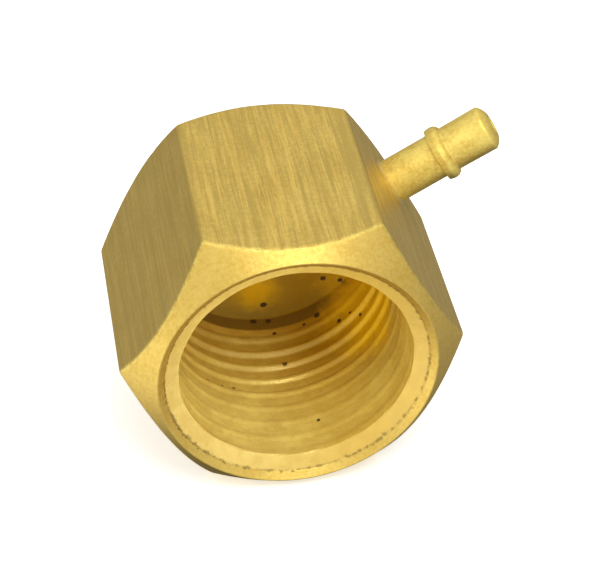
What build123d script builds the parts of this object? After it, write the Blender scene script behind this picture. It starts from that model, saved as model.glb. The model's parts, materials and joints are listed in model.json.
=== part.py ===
from build123d import *
from math import cos, floor, radians, sin, tan
import os

# A short hexagonal brass cap that screws onto a G1/2 male thread, with a single-bead hose
# nipple brazed square into one of its flats. Millimetres. The origin is on the bore's axis
# where its round wall starts, just inside the countersink. The mouth opens towards -Y, the
# closed end is at +Y, and Z is up with a flat down. Depths are given from the mouth's crest.

# Hexagonal bar
across_flats = 24.0
body_length = 21.2
flat_distance = across_flats / 2
corner_radius = flat_distance / cos(radians(30))
bar_margin = 2.0

# Turned chamfers on the two ends of the bar, as angles from the end faces
front_crest_radius = 11.15
front_chamfer_angle = 47.0
back_face_radius = 11.24
back_chamfer_angle = 44.0

# Mouth: a thin crest, a short inner chamfer and a 120 degree countersink
crest_inner_radius = 11.05
countersink_radius = 10.49
countersink_start = 0.5
countersink_angle = 30.0

# G1/2 parallel pipe thread in a blind hole bored to its minor diameter. Its form is cut as
# rings one pitch apart, not as a helix, so each crest is a plain round wall to measure.
thread_pitch = 25.4 / 14
thread_major_radius = 20.955 / 2
thread_pitch_radius = 19.793 / 2
thread_flank_angle = 27.5
thread_minor_radius = 18.631 / 2
hole_depth = 18.7
cross_drill_margin = 1.0
thread_depth = 15.5
first_crest_width = 0.25

# Hose nipple, measured along its own axis from the flat that it stands on
nipple_direction = 30.0
nipple_from_mouth = 16.1
nipple_bore_radius = 1.0
shank_radius = 1.5
shank_depth = 1.3
tube_radius = 1.89
bead_start = 4.45
bead_end = 5.75
bead_radius = 2.35
tip_radius = 1.92
tip_shoulder = 9.1
nipple_length = 9.7
dome_fullness = 0.68

# Braze fillet round the foot of the nipple
braze_width = 0.3
braze_height = 0.22

cone_depth = (countersink_radius - thread_minor_radius) * tan(radians(countersink_angle))
wall_start = countersink_start + cone_depth
mouth_plane = Plane(origin=(0, -wall_start, 0), x_dir=(1, 0, 0), z_dir=(0, 1, 0))
nipple_axis = Vector(cos(radians(nipple_direction)), 0, sin(radians(nipple_direction)))
nipple_foot = nipple_axis * flat_distance + Vector(0, nipple_from_mouth - wall_start, 0)
nipple_plane = Plane(origin=nipple_foot, x_dir=(0, 1, 0), z_dir=nipple_axis)


def turned(outline):
    """Solid of revolution about Z from a closed outline in (radius, height)."""
    return revolve(make_face(Plane.XZ * outline), Axis.Z)


def turning_envelope():
    """What the lathe leaves of the bar: both end chamfers and the thin front crest."""
    overhang = corner_radius + bar_margin
    front_slope = tan(radians(front_chamfer_angle))
    back_slope = tan(radians(back_chamfer_angle))
    return turned(
        Polyline(
            (0, 0),
            (front_crest_radius, 0),
            (overhang, (overhang - front_crest_radius) * front_slope),
            (overhang, body_length - (overhang - back_face_radius) * back_slope),
            (back_face_radius, body_length),
            (0, body_length),
            close=True,
        )
    )


def tapped_hole():
    """The space inside the cap: lip chamfer, countersink, thread form and plain blind end."""
    flank = tan(radians(thread_flank_angle))
    half_mouth = thread_pitch / 4 + (thread_pitch_radius - thread_minor_radius) * flank
    half_root = thread_pitch / 4 - (thread_major_radius - thread_pitch_radius) * flank
    first_groove = wall_start + first_crest_width + half_mouth
    groove_count = floor((thread_depth - first_groove) / thread_pitch) + 1

    outline = [
        (0, 0),
        (crest_inner_radius, 0),
        (countersink_radius, countersink_start),
        (thread_minor_radius, wall_start),
    ]
    for i in range(groove_count):
        groove = first_groove + i * thread_pitch
        outline += [
            (thread_minor_radius, groove - half_mouth),
            (thread_major_radius, groove - half_root),
            (thread_major_radius, groove + half_root),
            (thread_minor_radius, groove + half_mouth),
        ]
    outline += [(thread_minor_radius, hole_depth), (0, hole_depth)]
    return turned(Polyline(*outline, close=True))


def nipple_hole():
    """Stepped cross hole in the right-hand flat: a socket for the shank, then a way through."""
    through = flat_distance - thread_minor_radius + cross_drill_margin
    seat = (Align.CENTER, Align.CENTER, Align.MAX)
    socket = Cylinder(shank_radius, shank_depth, align=seat)
    return socket + Cylinder(nipple_bore_radius, through, align=seat)


def hex_body():
    """Hexagonal cap: one piece of bar, turned, drilled, tapped and cross-drilled."""
    bar = extrude(RegularPolygon(flat_distance, 6, major_radius=False), body_length)
    cap = mouth_plane * ((bar & turning_envelope()) - tapped_hole())
    return cap - nipple_plane * nipple_hole()


def hose_nipple():
    """Turned tube with a shank below the flat, one rounded bead and a domed tip."""
    dome_crown = (nipple_length - tip_shoulder) * dome_fullness
    dome_middle = (nipple_bore_radius + tip_radius) / 2
    bead_middle = (bead_start + bead_end) / 2
    outline = (
        Polyline((tip_radius, tip_shoulder), (tip_radius, bead_end))
        + ThreePointArc(
            (tip_radius, bead_end), (bead_radius, bead_middle), (tube_radius, bead_start)
        )
        + Polyline(
            (tube_radius, bead_start),
            (tube_radius, 0),
            (shank_radius, 0),
            (shank_radius, -shank_depth),
            (nipple_bore_radius, -shank_depth),
            (nipple_bore_radius, nipple_length),
        )
        + ThreePointArc(
            (nipple_bore_radius, nipple_length),
            (dome_middle, tip_shoulder + dome_crown),
            (tip_radius, tip_shoulder),
        )
    )
    return nipple_plane * turned(outline)


def braze_ring():
    """Thin fillet of braze in the corner between the nipple and its flat."""
    outline = Polyline(
        (tube_radius, 0), (tube_radius + braze_width, 0), (tube_radius, braze_height), close=True
    )
    return nipple_plane * turned(outline)


parts = {
    "hex_body": hex_body(),
    "hose_nipple": hose_nipple(),
    "braze_ring": braze_ring(),
}

os.makedirs("parts", exist_ok=True)
for name, solid in parts.items():
    export_step(solid, f"parts/{name}.step")
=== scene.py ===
"""Hexagonal brass cap with a side hose nipple: its pieces, finishes and studio."""

import json
import math

import bpy
import numpy as np
from mathutils import Matrix, Vector


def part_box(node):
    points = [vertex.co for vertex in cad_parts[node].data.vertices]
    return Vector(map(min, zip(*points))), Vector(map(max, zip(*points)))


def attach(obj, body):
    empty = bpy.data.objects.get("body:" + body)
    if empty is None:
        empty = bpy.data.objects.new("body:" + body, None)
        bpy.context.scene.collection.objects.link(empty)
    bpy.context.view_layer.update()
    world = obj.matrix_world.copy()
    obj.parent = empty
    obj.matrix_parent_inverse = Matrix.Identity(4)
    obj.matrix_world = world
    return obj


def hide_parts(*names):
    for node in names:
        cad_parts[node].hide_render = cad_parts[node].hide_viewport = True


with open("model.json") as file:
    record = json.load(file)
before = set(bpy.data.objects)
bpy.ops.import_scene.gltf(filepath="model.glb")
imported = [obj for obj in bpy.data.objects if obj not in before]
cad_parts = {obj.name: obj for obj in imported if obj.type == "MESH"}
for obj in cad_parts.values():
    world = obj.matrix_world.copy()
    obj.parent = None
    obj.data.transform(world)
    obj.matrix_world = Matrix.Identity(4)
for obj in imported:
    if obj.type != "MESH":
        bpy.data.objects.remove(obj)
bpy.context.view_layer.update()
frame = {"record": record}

bl_info = {
    "name": "Hex Cap with Hose Nipple",
    "version": (1, 0, 0),
    "blender": (4, 5, 0),
    "location": "3D View > Sidebar > Hex Cap",
    "description": "Builds a tapped hexagonal brass cap, its hose nipple and a small studio",
    "category": "Add Mesh",
}

MM = 0.001
TAU = 2 * math.pi
BODY = "root"

# An edge that bends more than this stays sharp
SHARP = math.radians(32)

cap_low, cap_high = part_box("hex_body")
mounts = {mount["name"]: mount for mount in frame["record"]["mounts"]}
hose_axis = Vector(mounts["hose_tip"]["axis"]).normalized()
hose_point = Vector(mounts["hose_tip"]["pos_m"])


# ---------------------------------------------------------------- node expressions


class Field:
    """One node socket, as a value that takes part in arithmetic."""

    def __init__(self, tree, socket):
        self.tree = tree
        self.socket = socket

    def math(self, operation, *others):
        """This value and others through one Math node."""
        values = dict(enumerate((self,) + others))
        return self.tree.add("ShaderNodeMath", {"operation": operation}, values)

    def vector_math(self, operation, *others, output="Vector", **named):
        """This vector and others through one Vector Math node."""
        values = dict(enumerate((self,) + others))
        values.update(named)
        settings = {"operation": operation}
        return self.tree.add("ShaderNodeVectorMath", settings, values, output)

    def ramp(self, low, high, to_low=0.0, to_high=1.0):
        """This value taken smoothly from one range to another."""
        values = {0: self, 1: low, 2: high, 3: to_low, 4: to_high}
        settings = {"interpolation_type": "SMOOTHSTEP"}
        return self.tree.add("ShaderNodeMapRange", settings, values)

    def parts(self):
        """The x, y and z of this vector."""
        return [self.tree.add("ShaderNodeSeparateXYZ", {}, {0: self}, axis) for axis in "XYZ"]

    def __add__(self, other):
        return self.math("ADD", other)

    def __sub__(self, other):
        return self.math("SUBTRACT", other)

    def __rsub__(self, other):
        return self.tree.value(other).math("SUBTRACT", self)

    def __mul__(self, other):
        return self.math("MULTIPLY", other)

    def __truediv__(self, other):
        return self.math("DIVIDE", other)

    def __rtruediv__(self, other):
        return self.tree.value(other).math("DIVIDE", self)

    __radd__ = __add__
    __rmul__ = __mul__


class Tree:
    """A node tree that nodes are added to one call at a time."""

    def __init__(self, node_tree):
        self.node_tree = node_tree

    def add(self, kind, settings=None, values=None, output=0):
        """A new node: its settings first, then the values or links of its sockets."""
        node = self.node_tree.nodes.new(kind)
        for name, setting in (settings or {}).items():
            setattr(node, name, setting)
        for name, value in (values or {}).items():
            for item in value if isinstance(value, list) else [value]:
                if isinstance(item, Field):
                    self.node_tree.links.new(item.socket, node.inputs[name])
                else:
                    node.inputs[name].default_value = item
        return Field(self, node.outputs[output]) if node.outputs else node

    def value(self, number):
        """A constant, as a Field."""
        if isinstance(number, Field):
            return number
        return self.add("ShaderNodeMath", {"operation": "ADD"}, {0: number, 1: 0.0})

    def vector(self, x, y, z):
        """Three values as one vector."""
        return self.add("ShaderNodeCombineXYZ", {}, {0: x, 1: y, 2: z})

    def blend(self, factor, first, second):
        """A Mix node on two colours, which have its sockets 6 and 7 and its output 2."""
        values = {"Factor": factor, 6: first, 7: second}
        return self.add("ShaderNodeMix", {"data_type": "RGBA"}, values, 2)

    def noise(self, vector, scale, detail, roughness=0.5, distortion=0.0):
        """Noise between 0 and 1, with about this many patches to the metre."""
        values = {"Vector": vector, "Scale": scale, "Detail": detail}
        values.update({"Roughness": roughness, "Distortion": distortion})
        return self.add("ShaderNodeTexNoise", {}, values)


# ---------------------------------------------------------------- settings


def length(name, description, default):
    """A length property, in metres."""
    return bpy.props.FloatProperty(
        name=name, description=description, default=default, subtype="DISTANCE", unit="LENGTH"
    )


def angle(name, description, degrees):
    """An angle property, whose default is given in degrees."""
    return bpy.props.FloatProperty(
        name=name,
        description=description,
        default=math.radians(degrees),
        subtype="ANGLE",
        unit="ROTATION",
    )


def colour(name, description, default):
    """A colour property."""
    return bpy.props.FloatVectorProperty(
        name=name, description=description, default=default, subtype="COLOR", size=3, min=0, max=1
    )


def amount(name, description, default, high):
    """A number from 0 up to this high."""
    return bpy.props.FloatProperty(
        name=name, description=description, default=default, min=0.0, max=high
    )


def count(name, description, default):
    """A whole number, at least 1."""
    return bpy.props.IntProperty(name=name, description=description, default=default, min=1)


class CapSettings(bpy.types.PropertyGroup):
    """Sizes of the hexagonal cap. Depths are measured from the crest of its mouth."""

    across_flats: length("Across Flats", "Hexagon between two flats", cap_high.z - cap_low.z)
    body_length: length("Length", "Crest of the mouth to the back", cap_high.y - cap_low.y)
    front_crest_radius: length("Crest Radius", "Outer edge of the mouth's crest", 11.15 * MM)
    front_chamfer: angle("Front Chamfer", "Angle from the mouth's plane", 47)
    back_face_radius: length("Back Face Radius", "Flat part of the closed end", 11.24 * MM)
    back_chamfer: angle("Back Chamfer", "Angle from the back's plane", 44)
    crest_inner_radius: length("Crest Inner Radius", "Inner edge of the crest", 11.05 * MM)
    countersink_radius: length("Countersink Radius", "Wide end of the countersink", 10.49 * MM)
    countersink_start: length("Countersink Start", "Depth of its wide end", 0.5 * MM)
    countersink_angle: angle("Countersink", "Angle from the mouth's plane", 30)
    wall_radius: length(
        "Wall Radius", "Crest of the thread", mounts["female_thread"]["dims"]["r_mm"] * MM
    )
    thread_root_radius: length("Thread Root Radius", "Root of the worn thread", 9.78 * MM)
    thread_rounding: length("Thread Rounding", "Reach of the rounding on its ridges", 0.5 * MM)
    thread_pitch_radius: length("Pitch Radius", "Where ridge and groove match", 19.793 / 2 * MM)
    thread_pitch: length("Pitch", "One turn of the thread", 25.4 / 14 * MM)
    thread_flank: angle("Thread Flank", "Half of the thread's angle", 27.5)
    thread_rise: length("Thread Rise", "Depth from which its grooves deepen", 5.0 * MM)
    thread_start: length("Thread Start", "Depth at which its grooves are full", 14.5 * MM)
    thread_end: length("Thread End", "Depth at which the thread has run out", 17.0 * MM)
    thread_fade: length("Thread Runout", "Stretch over which it runs out", 2.4 * MM)
    thread_turn: angle("Thread Turn", "Where the thread starts round the bore", 20)
    hole_depth: length("Hole Depth", "Depth of the blind end", 18.7 * MM)
    edge_softness: length("Edge Softness", "Reach of the rounding on outer edges", 0.34 * MM)
    wear_depth: length("Wear", "Depth of the nicks along edges", 0.05 * MM)
    columns: count("Columns", "Faces round the cap", 240)
    rows_per_pitch: count("Rows per Pitch", "Faces across one turn of the thread", 16)


class NippleSettings(bpy.types.PropertyGroup):
    """Sizes of the hose nipple, along its own axis from the flat."""

    bore_radius: length("Bore Radius", "Hole through the nipple", 1.0 * MM)
    shank_radius: length("Shank Radius", "The part inside the cap", 1.5 * MM)
    shank_depth: length("Shank Depth", "How far the shank goes in", 1.3 * MM)
    tube_radius: length("Tube Radius", "Between the flat and the bead", 1.89 * MM)
    bead_start: length("Bead Start", "Foot of the bead towards the cap", 4.45 * MM)
    bead_end: length("Bead End", "Foot of the bead towards the tip", 5.75 * MM)
    bead_radius: length("Bead Radius", "Top of the bead", 2.35 * MM)
    tip_radius: length("Tip Radius", "Beyond the bead", mounts["hose_tip"]["dims"]["r_mm"] * MM)
    shoulder: length("Shoulder", "Where the tip starts to close in", 9.1 * MM)
    nipple_length: length("Length", "From the flat to the end", 9.7 * MM)
    dome_crown: length("Dome Crown", "Rise of the end at the middle of its wall", 0.408 * MM)
    braze_width: length("Braze Width", "Reach of the braze over the flat", 0.3 * MM)
    braze_height: length("Braze Height", "Reach of the braze up the tube", 0.22 * MM)


class FinishSettings(bpy.types.PropertyGroup):
    """Colours and marks of the metal."""

    brass: colour("Brass", "Clean metal", (0.75, 0.54, 0.135))
    bright_brass: colour("Bright Brass", "Freshly cut metal in the bore", (1.0, 0.82, 0.22))
    deep_brass: colour("Deep Brass", "Metal in its darker patches", (0.63, 0.42, 0.078))
    olive_film: colour("Olive Film", "Thin tarnish on the drawn flats", (0.47, 0.345, 0.095))
    # Painted shade: the bore is blended towards this amber with depth and on its far side
    amber: colour("Amber", "Metal deep in the bore", (0.58, 0.34, 0.015))
    # Painted shade: the blind end and the stretch before it are blended towards this brown
    brown: colour("Brown", "Metal at the blind end", (0.47, 0.29, 0.02))
    # Painted reflection: orange patches of light bounced round the bore
    orange: colour("Orange", "Heat-tinted patches in the bore", (1.0, 0.64, 0.012))
    braze: colour("Braze", "Filler at the nipple's foot", (0.76, 0.58, 0.2))
    # Dark specks, burrs and nicks, and also the painted shade of the plain band before the blind
    # end
    grime: colour("Grime", "Dark specks and burrs", (0.10, 0.055, 0.015))
    streak_depth: length("Streak Depth", "Height of the drawing streaks", 0.045 * MM)
    ring_depth: length("Ring Depth", "Height of the turning marks", 0.022 * MM)


class StageSettings(bpy.types.PropertyGroup):
    """Camera, floor and lights."""

    azimuth: angle("Azimuth", "Camera round the object, 0 looks along +Y", -9.65)
    elevation: angle("Elevation", "Camera above the horizon", 38.87)
    distance: length("Distance", "Camera to its aim point", 150 * MM)
    focal_length: bpy.props.FloatProperty(
        name="Focal Length",
        description="On a 36 mm wide sensor",
        default=120.09,
        subtype="DISTANCE_CAMERA",
        unit="CAMERA",
    )
    aim: bpy.props.FloatVectorProperty(
        name="Aim",
        description="Point that the camera looks at",
        default=(-0.06 * MM, -1.74 * MM, 9.15 * MM),
        subtype="XYZ",
        unit="LENGTH",
        size=3,
        precision=5,
    )
    floor_colour: colour("Floor", "Plain pale floor", (0.90, 0.90, 0.895))
    key_power: amount("Key Light", "Watts of the light above the viewer", 0.74, 100)
    sky_power: amount("Overhead Light", "Watts of the light above and behind", 0.3, 100)
    dim_side: amount("Dim Side", "Brightness of the room behind the object", 0.33, 10)
    bright_side: amount("Bright Side", "Brightness of the room beside the viewer", 1.06, 10)
    ceiling_light: amount("Ceiling", "Extra brightness above and behind", 0.19, 10)
    table_light: amount("Table", "Extra brightness low on the left", 0.8, 10)
    floor_glow: amount("Floor Glow", "Light that the floor gives off itself", 0.45, 10)


SETTINGS = {
    "cap": CapSettings,
    "nipple": NippleSettings,
    "finish": FinishSettings,
    "stage": StageSettings,
}


def settings(name):
    """The scene's own settings of this group."""
    return getattr(bpy.context.scene, "fitting_" + name)


# ---------------------------------------------------------------- finishes


def new_material(name):
    """A new material, its tree and its Principled shader."""
    material = bpy.data.materials.new(name)
    material.use_nodes = True
    tree = Tree(material.node_tree)
    shader = material.node_tree.nodes["Principled BSDF"]
    return material, tree, shader


def finish_metal(material, tree, shader, base, roughness, height, depth, metallic=1.0):
    """Feed a metal's colour, roughness and surface height to its shader."""
    bump = tree.add(
        "ShaderNodeBump", {}, {"Strength": 1.0, "Distance": depth, "Height": height}
    )
    links = material.node_tree.links
    links.new(base.socket, shader.inputs["Base Color"])
    links.new(roughness.socket, shader.inputs["Roughness"])
    links.new(bump.socket, shader.inputs["Normal"])
    shader.inputs["Metallic"].default_value = metallic
    return material


def rgba(colour_setting):
    """The colour with full alpha."""
    return (*colour_setting, 1.0)


def object_place(tree):
    """Object coordinates, in metres."""
    return tree.add("ShaderNodeTexCoord", {}, {}, "Object")


def streaks(tree, place, across, along, **noise):
    """Noise drawn out along the bar, given as patches to the metre across and along it."""
    path = place.vector_math("MULTIPLY", (across, along, across))
    return tree.noise(path, scale=1, **noise)


def worn_edge(tree, place, base):
    """The colour rubbed bright along outer edges, with dark nicks in it."""
    finish = settings("finish")
    edge = tree.add("ShaderNodeAttribute", {"attribute_name": "edge"}, {}, "Fac")
    ragged = tree.noise(place, scale=1700, detail=4, roughness=0.7)
    base = tree.blend(edge * ragged.ramp(0.4, 0.6) * 0.75, base, rgba(finish.bright_brass))
    nicks = (edge * 0.35 + ragged * 0.9 - 0.35).ramp(0.44, 0.52) * edge.ramp(0.2, 0.6)
    return tree.blend(nicks * 0.4, base, rgba(finish.grime))


def drawn_brass():
    """Bar stock: long fine streaks along the bar, a few scratches, patches of olive film."""
    finish = settings("finish")
    material, tree, shader = new_material("drawn_bar_brass")
    place = object_place(tree)
    fine = streaks(tree, place, across=4800, along=170, detail=3, roughness=0.7)
    broad = streaks(tree, place, 2300, 60, detail=4, roughness=0.7, distortion=0.2)
    patches = tree.noise(place, scale=230, detail=4, roughness=0.6)
    grain = tree.noise(place, scale=7000, detail=2, roughness=0.6)
    wide = streaks(tree, place, across=1000, along=45, detail=3, roughness=0.6)
    speckle = tree.noise(place, scale=3300, detail=4, roughness=0.75)
    film = broad * 0.4 + wide * 0.25 + fine * 0.2 + speckle * 0.3 + patches * 0.05
    film = film.ramp(0.50, 0.68)
    scratches = broad.ramp(0.36, 0.30) * patches.ramp(0.45, 0.6)
    clean = tree.blend(
        (fine * 0.7 + patches * 0.3).ramp(0.38, 0.66) * 0.9,
        rgba(finish.brass),
        rgba(finish.deep_brass),
    )
    base = tree.blend(film * 0.7 + scratches * 0.4, clean, rgba(finish.olive_film))
    base = worn_edge(tree, place, base)
    roughness = 0.4 + fine * 0.1 + film * 0.1
    height = fine * 0.5 + broad * 1.1 + grain * 0.2 + speckle * 0.35 - scratches * 0.5
    return finish_metal(material, tree, shader, base, roughness, height, finish.streak_depth)


def burr_line(tree, place, radius, y):
    """Broken dark line of burrs and dots where the countersink meets the lip."""
    edge = (radius - settings("cap").countersink_radius).math("ABSOLUTE")
    ragged = tree.noise(place, scale=1500, detail=3, roughness=0.7)
    line = (edge + ragged * 0.12 * MM).ramp(0.22 * MM, 0.05 * MM) * ragged.ramp(0.40, 0.62)
    dots = (tree.noise(place, scale=2400, detail=1) * 0.5 + edge / (1.9 * MM)).ramp(0.29, 0.19)
    near_mouth = y.ramp(4 * MM, 2 * MM)
    return ((line * 0.4 + dots * 0.5) * near_mouth).math("MINIMUM", 0.55)


def turned_brass():
    """Lathe-cut metal: fine rings round the bore's axis, close grain, and the burrs that
    are left where the countersink was cut."""
    finish = settings("finish")
    material, tree, shader = new_material("turned_brass")
    place = object_place(tree)
    x, y, z = place.parts()
    radius = (x * x + z * z).math("SQRT")
    profile = tree.vector(radius, y, 0.0)
    rings = tree.noise(profile, scale=3600, detail=3, roughness=0.7)
    grain = tree.noise(place, scale=3000, detail=5, roughness=0.7)
    patches = tree.noise(place, scale=330, detail=4, roughness=0.65)
    shade = (patches * 0.3 + grain * 0.6 + rings * 0.2).ramp(0.45, 0.7)
    base = tree.blend(shade * 0.85, rgba(finish.brass), rgba(finish.deep_brass))
    dark = burr_line(tree, place, radius, y)
    base = tree.blend(dark, worn_edge(tree, place, base), rgba(finish.grime))
    roughness = 0.36 + grain * 0.16 + patches * 0.06
    height = rings * 0.9 + grain * 1.2 - dark * 1.5
    return finish_metal(material, tree, shader, base, roughness, height, finish.ring_depth)


# The bore's rough wall scatters most of its light, so it is only partly metallic
BORE_METALLIC = 0.2

# Middle radius of the threaded wall, in millimetres
WALL = 9.5

# Specks of dirt left in the bore: turn round the axis in degrees, distance from the axis,
# place along the axis and size, all three in millimetres
SPECKS = (
    (269.8, 8.1, 17.6, 0.35),
    (313.3, 7.9, 17.6, 0.31),
    (318.7, 9.3, 17.5, 0.25),
    (263.8, WALL, 17.1, 0.35),
    (271.8, WALL, 17.0, 0.29),
    (298.3, WALL, 15.8, 0.33),
    (308.5, WALL, 14.0, 0.23),
    (315.9, WALL, 13.9, 0.18),
    (321.5, WALL, 12.7, 0.18),
    (274.9, WALL, 11.2, 0.27),
    (229.1, WALL, 7.7, 0.23),
    (238.0, WALL, 7.8, 0.15),
    (244.9, WALL, 8.0, 0.16),
    (284.6, WALL, 3.4, 0.18),
    (273.5, WALL, 15.3, 0.20),
    (290.0, WALL, 15.4, 0.18),
    (95.0, WALL, 9.0, 0.25),
    (141.0, WALL, 12.3, 0.20),
    (40.0, WALL, 5.6, 0.18),
)

# Painted reflections in the bore: orange patches of bounced light, given as the specks are
PAINTED_REFLECTIONS = ((326.0, WALL, 14.2, 5.2), (331.0, WALL, 10.8, 5.0), (264.0, 6.4, 17.5, 2.7))


def bore_place(turn, radius, along):
    """A place in the bore, in metres."""
    turn = math.radians(turn)
    return (radius * math.cos(turn) * MM, along * MM, radius * math.sin(turn) * MM)


def nearest_of(tree, place, marks):
    """Distance to the nearest of these marks, as a share of its size."""
    nearest = None
    for turn, radius, along, size in marks:
        centre = bore_place(turn, radius, along)
        share = place.vector_math("DISTANCE", centre, output="Value") / (size * MM)
        nearest = share if nearest is None else nearest.math("MINIMUM", share)
    return nearest


def bore_brass():
    """Tapped wall and blind end: painted shade that turns it amber and browner with depth and
    towards its far side, orange patches of painted reflection, dark specks.
    """
    finish = settings("finish")
    blind = settings("cap").hole_depth + cap_low.y
    material, tree, shader = new_material("tapped_bore_brass")
    place = object_place(tree)
    x, y, z = place.parts()
    radius = (x * x + z * z).math("SQRT")
    # Ridges and grooves are read at one radius, so that a mark lies evenly across them
    onto_wall = (WALL * MM) / radius.math("MAXIMUM", 0.97 * WALL * MM)
    flat = tree.vector(x * onto_wall, y, z * onto_wall)
    patches = tree.noise(place, scale=260, detail=4, roughness=0.62, distortion=0.6)
    grain = tree.noise(place, scale=3000, detail=3, roughness=0.6)
    rubbed = tree.noise(place, scale=900, detail=3, roughness=0.6)
    # Painted shade: the wall turns amber deeper in the bore and towards +x, its far side
    depth = y.ramp(3 * MM, 14 * MM)
    far_side = x.ramp(-3.5 * MM, 5 * MM)
    base = tree.blend(
        (patches * 0.6 + rubbed * 0.45).ramp(0.4, 0.66) * 0.48,
        tree.blend(y.ramp(-0.6 * MM, 1.5 * MM), rgba(finish.brass), rgba(finish.bright_brass)),
        rgba(finish.deep_brass),
    )
    painted_depth_shade = depth * 0.3 + depth * far_side * 0.3 + far_side * 0.48
    base = tree.blend(painted_depth_shade, base, rgba(finish.amber))
    # The countersink's stains are real, but their extra darkness towards +x is painted shade
    countersink = y.ramp(0.5 * MM, -0.5 * MM)
    stain_and_shade = rubbed.ramp(0.42, 0.62) * countersink
    base = tree.blend(stain_and_shade * (0.35 + far_side * 0.4), base, rgba(finish.deep_brass))
    # Painted shade: the last stretch of the bore and its blind end are painted brown, and the
    # plain band before the blind end darker still
    blind_end_shade = y.ramp(blind - 1.75 * MM, blind - 1.5 * MM)
    painted_shade_band = blind_end_shade * y.ramp(blind - 0.05 * MM, blind - 0.25 * MM)
    base = tree.blend(blind_end_shade * 0.7, base, rgba(finish.brown))
    base = tree.blend(painted_shade_band * 0.55, base, rgba(finish.grime))
    ragged = grain * 0.5 + rubbed * 0.6
    # Painted reflection: orange patches of light bounced round the bore, painted into its colour
    painted_reflection_mask = (nearest_of(tree, flat, PAINTED_REFLECTIONS) + patches * 0.9 + rubbed * 0.5).ramp(1.75, 0.95)
    base = tree.blend(painted_reflection_mask, base, rgba(finish.orange))
    specks = (nearest_of(tree, flat, SPECKS) + ragged * 0.7).ramp(1.45, 1.0)
    fine_dirt = (rubbed * 0.6 + grain * 0.5).ramp(0.36, 0.3)
    specks = specks + fine_dirt * 0.35 + burr_line(tree, place, radius, y)
    specks = specks.math("MINIMUM", 1.0)
    base = tree.blend(specks, base, rgba(finish.grime))
    roughness = 0.24 + grain * 0.12 + specks * 0.2
    glints = tree.noise(place, scale=1900, detail=3, roughness=0.6)
    height = grain * 1.0 + rubbed * 3.0 + glints * 1.8 - specks * 2.0
    return finish_metal(
        material, tree, shader, base, roughness, height, finish.ring_depth, BORE_METALLIC
    )


def nipple_brass():
    """Fine turned metal with rings round the nipple's own axis."""
    finish = settings("finish")
    material, tree, shader = new_material("nipple_brass")
    place = object_place(tree)
    station = place.vector_math("DOT_PRODUCT", tuple(hose_axis), output="Value")
    rings = tree.noise(tree.vector(station, 0.0, 0.0), scale=7000, detail=3, roughness=0.6)
    grain = tree.noise(place, scale=3600, detail=4, roughness=0.65)
    patches = tree.noise(place, scale=520, detail=4, roughness=0.65)
    shade = (patches * 0.6 + grain * 0.45).ramp(0.4, 0.72)
    pale = tree.blend(0.65, rgba(finish.brass), rgba(finish.bright_brass))
    base = tree.blend(shade * 0.8, pale, rgba(finish.deep_brass))
    roughness = 0.42 + grain * 0.14 + patches * 0.1
    height = rings * 0.6 + grain * 1.0 + patches * 1.5
    return finish_metal(material, tree, shader, base, roughness, height, finish.ring_depth)


def braze_metal():
    """Filler that has flowed and set: smooth, paler, a little lumpy."""
    finish = settings("finish")
    material, tree, shader = new_material("braze_metal")
    place = object_place(tree)
    lumps = tree.noise(place, scale=1800, detail=2, roughness=0.5)
    grain = tree.noise(place, scale=5200, detail=3, roughness=0.6)
    shade = (lumps * 0.7 + grain * 0.35).ramp(0.4, 0.7)
    base = tree.blend(shade * 0.7, rgba(finish.braze), rgba(finish.deep_brass))
    roughness = 0.34 + lumps * 0.14
    height = lumps * 1.0 + grain * 0.4
    return finish_metal(material, tree, shader, base, roughness, height, finish.ring_depth)


# ---------------------------------------------------------------- meshes


def as_piece(source, name):
    """The evaluated source as a plain mesh piece at the origin; the source is removed."""
    depsgraph = bpy.context.evaluated_depsgraph_get()
    mesh = bpy.data.meshes.new_from_object(
        source.evaluated_get(depsgraph), preserve_all_data_layers=True, depsgraph=depsgraph
    )
    bpy.data.objects.remove(source)
    mesh.name = name
    piece = bpy.data.objects.new(name, mesh)
    bpy.context.collection.objects.link(piece)
    return piece


def run_tree(name, node_group, inputs):
    """Run a Geometry Nodes tree on an empty mesh and return its result as a piece."""
    carrier = bpy.data.objects.new(name + "_maker", bpy.data.meshes.new(name + "_maker"))
    bpy.context.collection.objects.link(carrier)
    modifier = carrier.modifiers.new("make", "NODES")
    modifier.node_group = node_group
    for item in node_group.interface.items_tree:
        if item.item_type == "SOCKET" and item.in_out == "INPUT" and item.name in inputs:
            modifier[item.identifier] = inputs[item.name]
    return as_piece(carrier, name)


def rounded(outline, steps=5):
    """Closed outline of (radius, station, rounding) corners, each made into a short arc."""
    points = []
    for i, (radius, station, fillet) in enumerate(outline):
        corner = np.array((radius, station))
        before = np.array(outline[i - 1][:2]) - corner
        after = np.array(outline[(i + 1) % len(outline)][:2]) - corner
        before /= np.linalg.norm(before)
        after /= np.linalg.norm(after)
        half = math.acos(np.clip(before @ after, -1, 1)) / 2
        middle = (before + after) / np.linalg.norm(before + after)
        centre = corner + middle * fillet / math.sin(half)
        start = corner + before * fillet / math.tan(half) - centre
        end = corner + after * fillet / math.tan(half) - centre
        swing = math.pi - 2 * half
        for k in range(steps + 1):
            t = k / steps
            share = (math.sin((1 - t) * swing), math.sin(t * swing))
            points.append(centre + (start * share[0] + end * share[1]) / math.sin(swing))
    return np.array(points)


def arc(start, middle, end, steps):
    """Points of the circular arc through these three."""
    start, middle, end = (complex(*point) for point in (start, middle, end))
    span = (end - start) / (middle - start)
    centre = start + (middle - start) * (span - abs(span) ** 2) / (2j * span.imag)
    turns = [math.atan2((p - centre).imag, (p - centre).real) for p in (start, end)]
    radius = abs(start - centre)
    angles = np.linspace(*turns, steps + 1)
    return np.stack(
        [centre.real + radius * np.cos(angles), centre.imag + radius * np.sin(angles)], axis=1
    )


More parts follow.
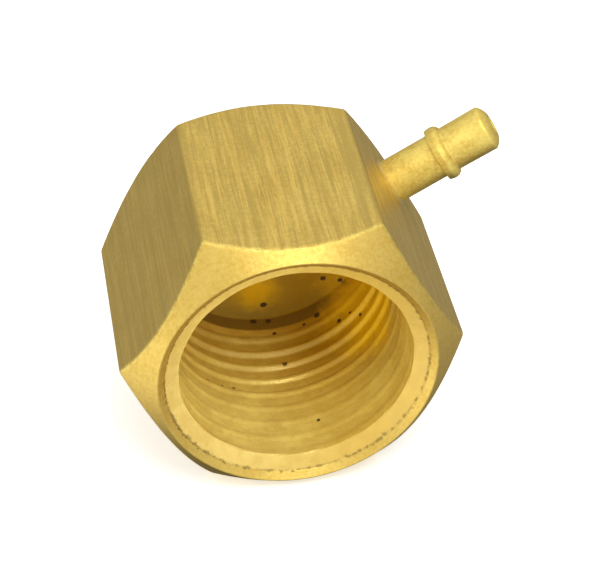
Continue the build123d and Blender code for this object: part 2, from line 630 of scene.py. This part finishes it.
def divided(points, longest):
    """The closed outline with its long sides cut into runs no longer than this."""
    result = []
    for start, end in zip(points, np.roll(points, -1, axis=0)):
        runs = max(1, math.ceil(np.linalg.norm(end - start) / longest))
        result += [start + (end - start) * k / runs for k in range(runs)]
    return np.array(result)


def ring_mesh(name, outlines, foot, axis):
    """A closed ring swept round an axis from one (radius, station) outline for each column."""
    side = axis.orthogonal().normalized()
    other = axis.cross(side)
    columns, rows = len(outlines), len(outlines[0])
    points = []
    for i, outline in enumerate(outlines):
        turn = TAU * i / columns
        outwards = side * math.cos(turn) + other * math.sin(turn)
        points += [foot + outwards * float(r) + axis * float(s) for r, s in outline]
    faces = [
        (
            i * rows + j,
            (i + 1) % columns * rows + j,
            (i + 1) % columns * rows + (j + 1) % rows,
            i * rows + (j + 1) % rows,
        )
        for i in range(columns)
        for j in range(rows)
    ]
    mesh = bpy.data.meshes.new(name)
    mesh.from_pydata(points, [], faces)
    mesh.validate()
    mesh.shade_smooth()
    piece = bpy.data.objects.new(name, mesh)
    bpy.context.collection.objects.link(piece)
    return piece


# ---------------------------------------------------------------- the cap's tree


# How far the columns of faces gather towards the hexagon's corners, in radians
CORNER_GATHER = 0.11

# Radius at which the nicks' noise is read, so that it doesn't change across an edge
NICK_RADIUS = 12 * MM

# Points this near are one; a station this near the thread's end is at it
SAME_POINT = 1.5e-6
SAME_STATION = 0.5e-6

# The drills of the cross hole start this far above the flat, and the thin one ends at this
# share of the way from the flat to the axis
DRILL_START = 1.0 * MM
DRILL_REACH = 0.4
DRILL_SIDES = 48


def cap_tree():
    """Geometry Nodes tree of the cap: one closed skin, laid band by band from the back's
    centre over the outside, round the lip and down the threaded wall to the blind end."""
    group = bpy.data.node_groups.new("hex_cap", "GeometryNodeTree")
    finishes = ("flats", "turned", "bore")
    kinds = {name: "Float" for name in CapSettings.__annotations__}
    kinds.update(columns="Int", rows_per_pitch="Int")
    kinds.update({name: "Material" for name in finishes})
    kinds.update(socket_radius="Float", socket_depth="Float", through_radius="Float")
    kinds.update(nipple_foot="Vector", nipple_turn="Vector")
    for name, kind in kinds.items():
        group.interface.new_socket(name, in_out="INPUT", socket_type="NodeSocket" + kind)
    group.interface.new_socket("Mesh", in_out="OUTPUT", socket_type="NodeSocketGeometry")

    tree = Tree(group)
    given = group.nodes.new("NodeGroupInput")
    size = {
        item.name: Field(tree, given.outputs[item.name])
        for item in group.interface.items_tree
        if item.in_out == "INPUT"
    }
    flat_distance = size["across_flats"] * 0.5
    body_length = size["body_length"]

    across, along, _ = tree.add("GeometryNodeInputPosition").parts()
    row = along + 0.5
    even_turn = (across + 0.5) * TAU
    turn = even_turn - (even_turn * 6).math("SINE") * CORNER_GATHER

    # The hexagon: distance to its side along this turn, with its corners eased
    from_middle = (turn / TAU * 6).math("FRACT") - 0.5
    lean = from_middle.math("ABSOLUTE") * (TAU / 6)
    near_side = flat_distance / lean.math("COSINE")
    far_side = flat_distance / (TAU / 6 - lean).math("COSINE")
    hexagon = near_side.math("SMOOTH_MIN", far_side, size["edge_softness"])

    front_slope = size["front_chamfer"].math("TANGENT")
    back_slope = size["back_chamfer"].math("TANGENT")
    front_edge = (hexagon - size["front_crest_radius"]) * front_slope
    back_edge = body_length - (hexagon - size["back_face_radius"]) * back_slope

    def round_axis(radius, depth):
        """The place at this radius and depth, at the turn of each column."""
        return tree.vector(radius * turn.math("COSINE"), depth, radius * turn.math("SINE"))

    def outer_radius(depth):
        """Bar and both turned cones, with their edges eased and a little worn, and how near
        an edge the place is."""
        front_cone = size["front_crest_radius"] + depth / front_slope
        back_cone = size["back_face_radius"] + (body_length - depth) / back_slope
        plain = hexagon.math("MINIMUM", front_cone).math("MINIMUM", back_cone)
        eased = hexagon.math("SMOOTH_MIN", front_cone, size["edge_softness"])
        eased = eased.math("SMOOTH_MIN", back_cone, size["edge_softness"])
        nicks = tree.noise(round_axis(NICK_RADIUS, depth), scale=900, detail=3, roughness=0.6)
        near_edge = ((plain - eased) / (size["edge_softness"] / 6)).math("MINIMUM", 1.0)
        return eased - nicks.ramp(0.5, 0.78) * near_edge * size["wear_depth"], near_edge

    def thread_radius(depth):
        """Helical thread with rounded ridges: it deepens from the mouth inwards, and runs
        out before the blind end."""
        phase = (depth / size["thread_pitch"] - (turn + size["thread_turn"]) / TAU).math("FRACT")
        off_groove = (phase - 0.5).math("ABSOLUTE") * size["thread_pitch"]
        flank = size["thread_flank"].math("TANGENT")
        form = size["thread_pitch_radius"] + (size["thread_pitch"] / 4 - off_groove) / flank
        form = form.math("SMOOTH_MIN", size["thread_root_radius"], size["thread_rounding"])
        cut = form.math("SMOOTH_MAX", size["wall_radius"], size["thread_rounding"])
        runout = ((size["thread_end"] - depth) / size["thread_fade"]).ramp(0.0, 1.0)
        deepened = depth.ramp(size["thread_rise"], size["thread_start"], 0.12, 1.0)
        return size["wall_radius"] + (cut - size["wall_radius"]) * (runout * deepened)

    def wall(depth):
        """Thread, or the countersink where that is wider; plain at the thread's end."""
        slope = size["countersink_angle"].math("TANGENT")
        cone = size["countersink_radius"] - (depth - size["countersink_start"]) / slope
        cut = cone.math("MAXIMUM", thread_radius(depth))
        at_end = depth.math("COMPARE", size["thread_end"], SAME_STATION)
        return cut + (size["wall_radius"] - cut) * at_end

    def between(first, last):
        """From the first value to the last, row by row."""
        return tree.value(first) + (last - tree.value(first)) * row

    bands = []

    def marked(strip, finish):
        """The strip with the number of its finish kept on its faces."""
        return tree.add(
            "GeometryNodeStoreNamedAttribute",
            {"data_type": "INT", "domain": "FACE"},
            {"Geometry": strip, "Name": "finish", "Value": finishes.index(finish)},
        )

    def band(rows, radius, depth, finish, edge=0.0):
        """One strip of faces all the way round, from its radius and depth in each row, with
        how near an outer edge each point is."""
        grid = tree.add(
            "GeometryNodeMeshGrid",
            {},
            {"Size X": 1.0, "Size Y": 1.0, "Vertices X": size["columns"] + 1, "Vertices Y": rows},
            "Mesh",
        )
        grid = tree.add(
            "GeometryNodeStoreNamedAttribute",
            {"data_type": "FLOAT", "domain": "POINT"},
            {"Geometry": grid, "Name": "edge", "Value": edge},
        )
        bent = {"Geometry": grid, "Position": round_axis(radius, depth)}
        bands.append(marked(tree.add("GeometryNodeSetPosition", {}, bent), finish))

    def outer_band(rows, first, last, finish):
        """One strip of the outside, between two depths."""
        depth = between(first, last)
        radius, edge = outer_radius(depth)
        band(rows, radius, depth, finish, edge)

    # Each band starts with its number of rows, which lie closer within reach of an edge
    reach = size["edge_softness"] * 1.6
    near_rim = size["back_face_radius"] * 0.97
    band(4, between(0.0, near_rim), body_length, "turned")
    last_ring = outer_radius(body_length)[0]
    band(3, between(near_rim, last_ring), body_length, "turned")
    outer_band(6, body_length, back_edge + reach, "turned")
    outer_band(5, back_edge + reach, back_edge, "turned")
    outer_band(5, back_edge, back_edge - reach, "flats")
    outer_band(24, back_edge - reach, front_edge + reach, "flats")
    outer_band(5, front_edge + reach, front_edge, "flats")
    outer_band(5, front_edge, front_edge - reach * 0.8, "turned")
    outer_band(8, front_edge - reach * 0.8, 0.0, "turned")
    first_ring = outer_radius(0.0)[0]
    crest = size["crest_inner_radius"]
    start = size["countersink_start"]
    band(3, between(first_ring, crest), 0.0, "turned")
    band(5, between(crest, size["countersink_radius"]), between(0.0, start), "turned")

    # Rows of the wall follow the helix, so that its edges lie along them, and are held
    # between the two ends; what is pushed together there is merged.
    turns = (size["thread_end"] - start) / size["thread_pitch"] + 1
    rows = (turns * size["rows_per_pitch"]).math("CEIL")
    helix = (row * rows / size["rows_per_pitch"] - 1 + even_turn / TAU) * size["thread_pitch"]
    skew = (turn - even_turn) / TAU * size["thread_pitch"]
    depth = (start + helix + skew).math("MAXIMUM", start).math("MINIMUM", size["thread_end"])
    band(rows + 1, wall(depth), depth, "bore")
    floor = size["hole_depth"]
    band(6, size["wall_radius"], between(size["thread_end"], floor), "bore")
    band(12, between(size["wall_radius"], 0.0), floor, "bore")

    skin = tree.add("GeometryNodeJoinGeometry", {}, {"Geometry": bands})
    skin = tree.add(
        "GeometryNodeMergeByDistance", {}, {"Geometry": skin, "Distance": SAME_POINT}
    )

    drills = []
    for radius, bottom in (
        (size["socket_radius"], size["socket_depth"] * -1),
        (size["through_radius"], flat_distance * -DRILL_REACH),
    ):
        sizes = {"Vertices": DRILL_SIDES, "Radius": radius, "Depth": DRILL_START - bottom}
        rod = tree.add("GeometryNodeMeshCylinder", {}, sizes, "Mesh")
        lift = tree.vector(0.0, 0.0, (DRILL_START + bottom) * 0.5)
        rod = tree.add("GeometryNodeTransform", {}, {"Geometry": rod, "Translation": lift})
        place = {"Translation": size["nipple_foot"], "Rotation": size["nipple_turn"]}
        place["Geometry"] = marked(rod, "bore")
        drills.append(tree.add("GeometryNodeTransform", {}, place))
    drilled = tree.add(
        "GeometryNodeMeshBoolean",
        {"operation": "DIFFERENCE", "solver": "MANIFOLD"},
        {"Mesh 1": skin, "Mesh 2": drills},
        "Mesh",
    )
    bend = tree.add("GeometryNodeInputMeshEdgeAngle", {}, {}, "Unsigned Angle")
    sharp = bend.math("GREATER_THAN", SHARP)
    smooth = tree.add(
        "GeometryNodeSetShadeSmooth",
        {"domain": "EDGE"},
        {"Geometry": drilled, "Selection": sharp, "Shade Smooth": False},
    )
    result = tree.add("GeometryNodeRealizeInstances", {}, {"Geometry": smooth})
    kept = tree.add(
        "GeometryNodeInputNamedAttribute", {"data_type": "INT"}, {"Name": "finish"}, "Attribute"
    )
    for number, finish in enumerate(finishes):
        result = tree.add(
            "GeometryNodeSetMaterial",
            {},
            {
                "Geometry": result,
                "Selection": kept.math("COMPARE", number, 0.5),
                "Material": size[finish],
            },
        )
    out = group.nodes.new("NodeGroupOutput")
    group.links.new(result.socket, out.inputs["Mesh"])
    return group


# ---------------------------------------------------------------- operators

# Faces round the nipple and the braze, and the longest face along the nipple
NIPPLE_COLUMNS = 96
LONGEST_FACE = 0.22 * MM

# Half the side of the floor, in metres, and the width of the camera's sensor in millimetres
FLOOR_REACH = 3.0
SENSOR_WIDTH = 36.0

# Each lamp's name, the setting of its power, its azimuth and elevation in degrees, and its
# distance and width in metres
LAMPS = (
    ("key", "key_power", 12, 60, 0.5, 0.16),
    ("overhead", "sky_power", 165, 50, 0.6, 0.5),
)

# Where the room is brightest beside the viewer, above and behind, and low on the left
WINDOW = (-0.24, -0.86, 0.42)
CEILING = (0.0, 0.62, 0.78)
TABLE = (-0.75, -0.25, -0.61)


def placed(piece, slot, *nodes):
    """Ride the piece on the body and let it stand for its CAD nodes."""
    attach(piece, BODY)
    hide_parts(*nodes)


def nipple_foot():
    """Where the nipple's axis meets its flat."""
    flat_distance = settings("cap").across_flats / 2
    return hose_point - hose_axis * (hose_point.dot(hose_axis) - flat_distance)


class FITTING_OT_cap(bpy.types.Operator):
    """Make the hexagonal cap with its thread"""

    bl_idname = "fitting.cap"
    bl_label = "Hexagonal Cap"

    def execute(self, context):
        cap = settings("cap")
        nipple = settings("nipple")
        inputs = {name: getattr(cap, name) for name in CapSettings.__annotations__}
        inputs.update(flats=drawn_brass(), turned=turned_brass(), bore=bore_brass())
        inputs.update(
            socket_radius=nipple.shank_radius,
            socket_depth=nipple.shank_depth,
            through_radius=nipple.bore_radius,
            nipple_foot=nipple_foot() - Vector((0, cap_low.y, 0)),
            nipple_turn=hose_axis.to_track_quat("Z", "Y").to_euler(),
        )
        piece = run_tree("hex_cap", cap_tree(), inputs)
        piece.data.transform(Matrix.Translation((0, cap_low.y, 0)))
        if not piece.data.polygons:
            raise RuntimeError("the cap's tree made no faces")
        placed(piece, "bar_brass", "hex_body")
        return {"FINISHED"}


class FITTING_OT_nipple(bpy.types.Operator):
    """Make the hose nipple"""

    bl_idname = "fitting.nipple"
    bl_label = "Hose Nipple"

    def execute(self, context):
        nipple = settings("nipple")
        bead_middle = (nipple.bead_start + nipple.bead_end) / 2
        broken = 0.05 * MM
        # Each corner's radius, station and rounding. The bead has a steep side towards the
        # cap and a low one towards the tip.
        outline = rounded(
            [
                (nipple.bore_radius, -nipple.shank_depth, broken),
                (nipple.shank_radius, -nipple.shank_depth, broken),
                (nipple.shank_radius, 0, broken),
                (nipple.tube_radius, 0, broken),
                (nipple.tube_radius, nipple.bead_start, 0.02 * MM),
                (nipple.bead_radius - 0.08 * MM, nipple.bead_start + 0.04 * MM, 0.05 * MM),
                (nipple.bead_radius, bead_middle - 0.12 * MM, 0.3 * MM),
                (nipple.bead_radius - 0.06 * MM, bead_middle + 0.22 * MM, 0.25 * MM),
                (nipple.tip_radius, nipple.bead_end, 0.12 * MM),
            ]
        )
        tip = (nipple.tip_radius, nipple.shoulder)
        dome = ((nipple.bore_radius + nipple.tip_radius) / 2, nipple.shoulder + nipple.dome_crown)
        end = (nipple.bore_radius, nipple.nipple_length)
        outline = np.concatenate([outline, arc(tip, dome, end, steps=12)])
        profile = divided(outline, LONGEST_FACE)
        piece = ring_mesh("hose_tube", [profile] * NIPPLE_COLUMNS, nipple_foot(), hose_axis)
        piece.data.materials.append(nipple_brass())
        placed(piece, "turned_brass", "hose_nipple")
        return {"FINISHED"}


class FITTING_OT_braze(bpy.types.Operator):
    """Make the braze at the nipple's foot"""

    bl_idname = "fitting.braze"
    bl_label = "Braze"

    def execute(self, context):
        nipple = settings("nipple")
        sunk = 0.02 * MM
        inner = nipple.tube_radius - sunk
        outlines = []
        for i in range(NIPPLE_COLUMNS):
            # The fillet's reach varies as the filler ran round the joint
            turn = TAU * i / NIPPLE_COLUMNS
            run = 0.82 + 0.12 * math.sin(3 * turn + 0.7) + 0.06 * math.sin(7 * turn + 2.1)
            width, height = nipple.braze_width * run, nipple.braze_height * run
            outlines.append(
                [
                    (inner, -sunk),
                    (nipple.tube_radius + width, -sunk),
                    (nipple.tube_radius + width * 0.9, 0.02 * MM),
                    (nipple.tube_radius + width * 0.5, height * 0.25),
                    (nipple.tube_radius + width * 0.2, height * 0.6),
                    (nipple.tube_radius + 0.01 * MM, height),
                    (inner, height),
                ]
            )
        piece = ring_mesh("braze_fillet", outlines, nipple_foot(), hose_axis)
        piece.data.materials.append(braze_metal())
        placed(piece, "braze", "braze_ring")
        return {"FINISHED"}


class FITTING_OT_stage(bpy.types.Operator):
    """Make the floor, the lights and the camera"""

    bl_idname = "fitting.stage"
    bl_label = "Studio"

    def execute(self, context):
        stage = settings("stage")
        self.floor(stage)
        self.room(stage)
        for name, power, azimuth, elevation, distance, width in LAMPS:
            back = self.away(math.radians(azimuth), math.radians(elevation))
            self.lamp(name, getattr(stage, power), width, Vector(stage.aim), back, distance)
        self.camera(stage)
        view = context.scene.view_settings
        view.view_transform = "Standard"
        view.look = "None"
        return {"FINISHED"}

    def away(self, azimuth, elevation):
        """Unit vector from the object towards a viewer at these angles."""
        level = math.cos(elevation)
        return Vector(
            (math.sin(azimuth) * level, -math.cos(azimuth) * level, math.sin(elevation))
        )

    def stand(self, thing, aim, back, distance):
        """Put a lamp or the camera this far back from the aim point, looking at it."""
        thing.location = aim + back * distance
        thing.rotation_euler = back.to_track_quat("Z", "Y").to_euler()
        bpy.context.collection.objects.link(thing)

    def floor(self, stage):
        """A large plain floor under the object, which metal doesn't mirror."""
        corners = [(-1, -1), (1, -1), (1, 1), (-1, 1)]
        points = [(x * FLOOR_REACH, y * FLOOR_REACH, cap_low.z) for x, y in corners]
        mesh = bpy.data.meshes.new("floor")
        mesh.from_pydata(points, [], [(0, 1, 2, 3)])
        floor = bpy.data.objects.new("floor", mesh)
        bpy.context.collection.objects.link(floor)
        material, tree, shader = new_material("pale_floor")
        shader.inputs["Base Color"].default_value = rgba(stage.floor_colour)
        shader.inputs["Roughness"].default_value = 0.9
        shader.inputs["Specular IOR Level"].default_value = 0.1
        shader.inputs["Emission Color"].default_value = rgba(stage.floor_colour)
        shader.inputs["Emission Strength"].default_value = stage.floor_glow
        mesh.materials.append(material)
        floor.visible_glossy = False

    def room(self, stage):
        """A pale room: brightest beside the viewer, dimmer behind, dark right below."""
        world = bpy.data.worlds.new("studio")
        world.use_nodes = True
        bpy.context.scene.world = world
        tree = Tree(world.node_tree)
        way = tree.add("ShaderNodeTexCoord", {}, {}, "Generated")

        def towards(direction):
            """1 straight towards this direction, -1 straight away from it."""
            direction = tuple(Vector(direction).normalized())
            return way.vector_math("DOT_PRODUCT", direction, output="Value")

        light = towards(WINDOW).ramp(-1.0, 0.9, stage.dim_side, stage.bright_side)
        light = light + towards(CEILING).ramp(0.3, 0.9, 0.0, stage.ceiling_light)
        light = light + towards(TABLE).ramp(0.58, 0.97, 0.0, stage.table_light)
        light = light * way.parts()[2].ramp(-0.97, -0.6, 0.02, 1.0)
        # What the camera sees directly is plain white
        seen = tree.add("ShaderNodeLightPath", {}, {}, "Is Camera Ray")
        light = light * (1 - seen) + seen
        background = world.node_tree.nodes["Background"]
        world.node_tree.links.new(light.socket, background.inputs["Strength"])
        background.inputs["Color"].default_value = (1.0, 0.995, 0.98, 1.0)

    def lamp(self, name, power, width, aim, back, distance):
        """A round soft lamp."""
        light = bpy.data.lights.new(name, "AREA")
        light.shape = "DISK"
        light.size = width
        light.energy = power
        self.stand(bpy.data.objects.new(name, light), aim, back, distance)

    def camera(self, stage):
        """The camera, without shift or depth of field."""
        data = bpy.data.cameras.new("camera")
        data.sensor_width = SENSOR_WIDTH
        data.lens = stage.focal_length
        data.clip_start = 0.01
        camera = bpy.data.objects.new("camera", data)
        back = self.away(stage.azimuth, stage.elevation)
        self.stand(camera, Vector(stage.aim), back, stage.distance)
        bpy.context.scene.camera = camera


class FITTING_PT_panel(bpy.types.Panel):
    """Buttons for each piece and the studio, with their sizes"""

    bl_idname = "FITTING_PT_panel"
    bl_label = "Hex Cap"
    bl_space_type = "VIEW_3D"
    bl_region_type = "UI"
    bl_category = "Hex Cap"

    def draw(self, context):
        for name, group in SETTINGS.items():
            column = self.layout.column(heading=name.title())
            for prop in group.__annotations__:
                column.prop(settings(name), prop)
        for operator in OPERATORS:
            self.layout.operator(operator.bl_idname)


OPERATORS = (FITTING_OT_cap, FITTING_OT_nipple, FITTING_OT_braze, FITTING_OT_stage)
CLASSES = (*SETTINGS.values(), *OPERATORS, FITTING_PT_panel)


def register():
    for each in CLASSES:
        bpy.utils.register_class(each)
    for name, group in SETTINGS.items():
        setattr(bpy.types.Scene, "fitting_" + name, bpy.props.PointerProperty(type=group))


def unregister():
    for name in SETTINGS:
        delattr(bpy.types.Scene, "fitting_" + name)
    for each in reversed(CLASSES):
        bpy.utils.unregister_class(each)


def main():
    """Make every piece and the studio."""
    register()
    bpy.ops.fitting.cap()
    bpy.ops.fitting.nipple()
    bpy.ops.fitting.braze()
    bpy.ops.fitting.stage()


if __name__ == "__main__":
    main()
